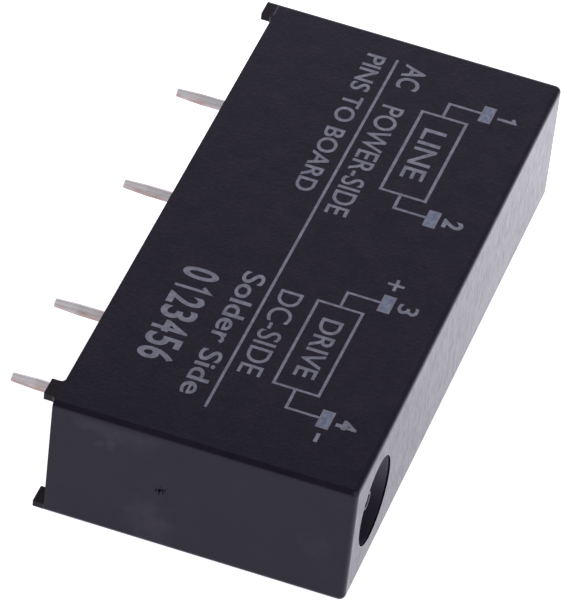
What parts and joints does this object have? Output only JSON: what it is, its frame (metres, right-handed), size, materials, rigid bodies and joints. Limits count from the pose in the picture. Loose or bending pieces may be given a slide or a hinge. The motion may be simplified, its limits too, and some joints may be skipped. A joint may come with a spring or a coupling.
{
  "type": "solid state relay",
  "caption": "Pin-row solid state relay: a potted black box with a row of round solder pins, holding a light-coupled triac switch on a small circuit board.",
  "frame": {"origin": "centre of the base of the overall box, on the plain large face that the relay lies on", "axes": "+X along the case from the load pins to the control pins, -Y the way the pins point, +Z out of the marked large face"},
  "size_m": [0.0428, 0.0244, 0.0093],
  "materials": {
    "case_plastic": "satin black moulded thermoplastic, fine spark-eroded texture",
    "resin": "poured black epoxy, smooth, slightly wavy",
    "pin_metal": "tinned copper wire, satin, faintly drawn along its length",
    "board_laminate": "glass-epoxy laminate, translucent green-yellow, satin",
    "copper": "bare copper foil, satin",
    "solder": "solder, bright with dull patches",
    "spreader_metal": "rolled aluminium, satin",
    "pad_rubber": "grey silicone sheet, matt",
    "tab_metal": "nickel-plated copper, satin",
    "moulding_compound": "black epoxy moulding compound, fine-grained",
    "silicon": "dark grey silicon, polished",
    "lead_metal": "tinned lead frame, satin",
    "clear_resin": "translucent white silicone, glossy",
    "alumina": "white alumina ceramic, matt",
    "capacitor_ceramic": "tan ceramic, satin"
  },
  "bodies": {
    "root": {"case": "case_plastic", "chip_resistor_1": "alumina", "chip_resistor_2": "alumina", "chip_resistor_3": "alumina", "chip_resistor_4": "alumina", "chip_resistor_5": "alumina", "chip_resistor_terminals": "lead_metal", "circuit_board": "board_laminate", "copper_tracks": "copper", "current_transistor_1": "moulding_compound", "current_transistor_2": "moulding_compound", "current_transistor_leads": "lead_metal", "heat_spreader": "spreader_metal", "optocoupler_body": "moulding_compound", "optocoupler_detector": "silicon", "optocoupler_emitter": "silicon", "optocoupler_leads": "lead_metal", "optocoupler_lens": "clear_resin", "protection_diode": "moulding_compound", "protection_diode_leads": "lead_metal", "sealing_resin": "resin", "snubber_capacitor": "capacitor_ceramic", "snubber_capacitor_terminals": "lead_metal", "snubber_resistor": "alumina", "snubber_resistor_terminals": "lead_metal", "solder_joints": "solder", "terminal_pin_1": "pin_metal", "terminal_pin_2": "pin_metal", "terminal_pin_3": "pin_metal", "terminal_pin_4": "pin_metal", "thermal_pad": "pad_rubber", "triac_body": "moulding_compound", "triac_chip": "silicon", "triac_leads": "lead_metal", "triac_tab": "tab_metal"}
  },
  "joints": []
}
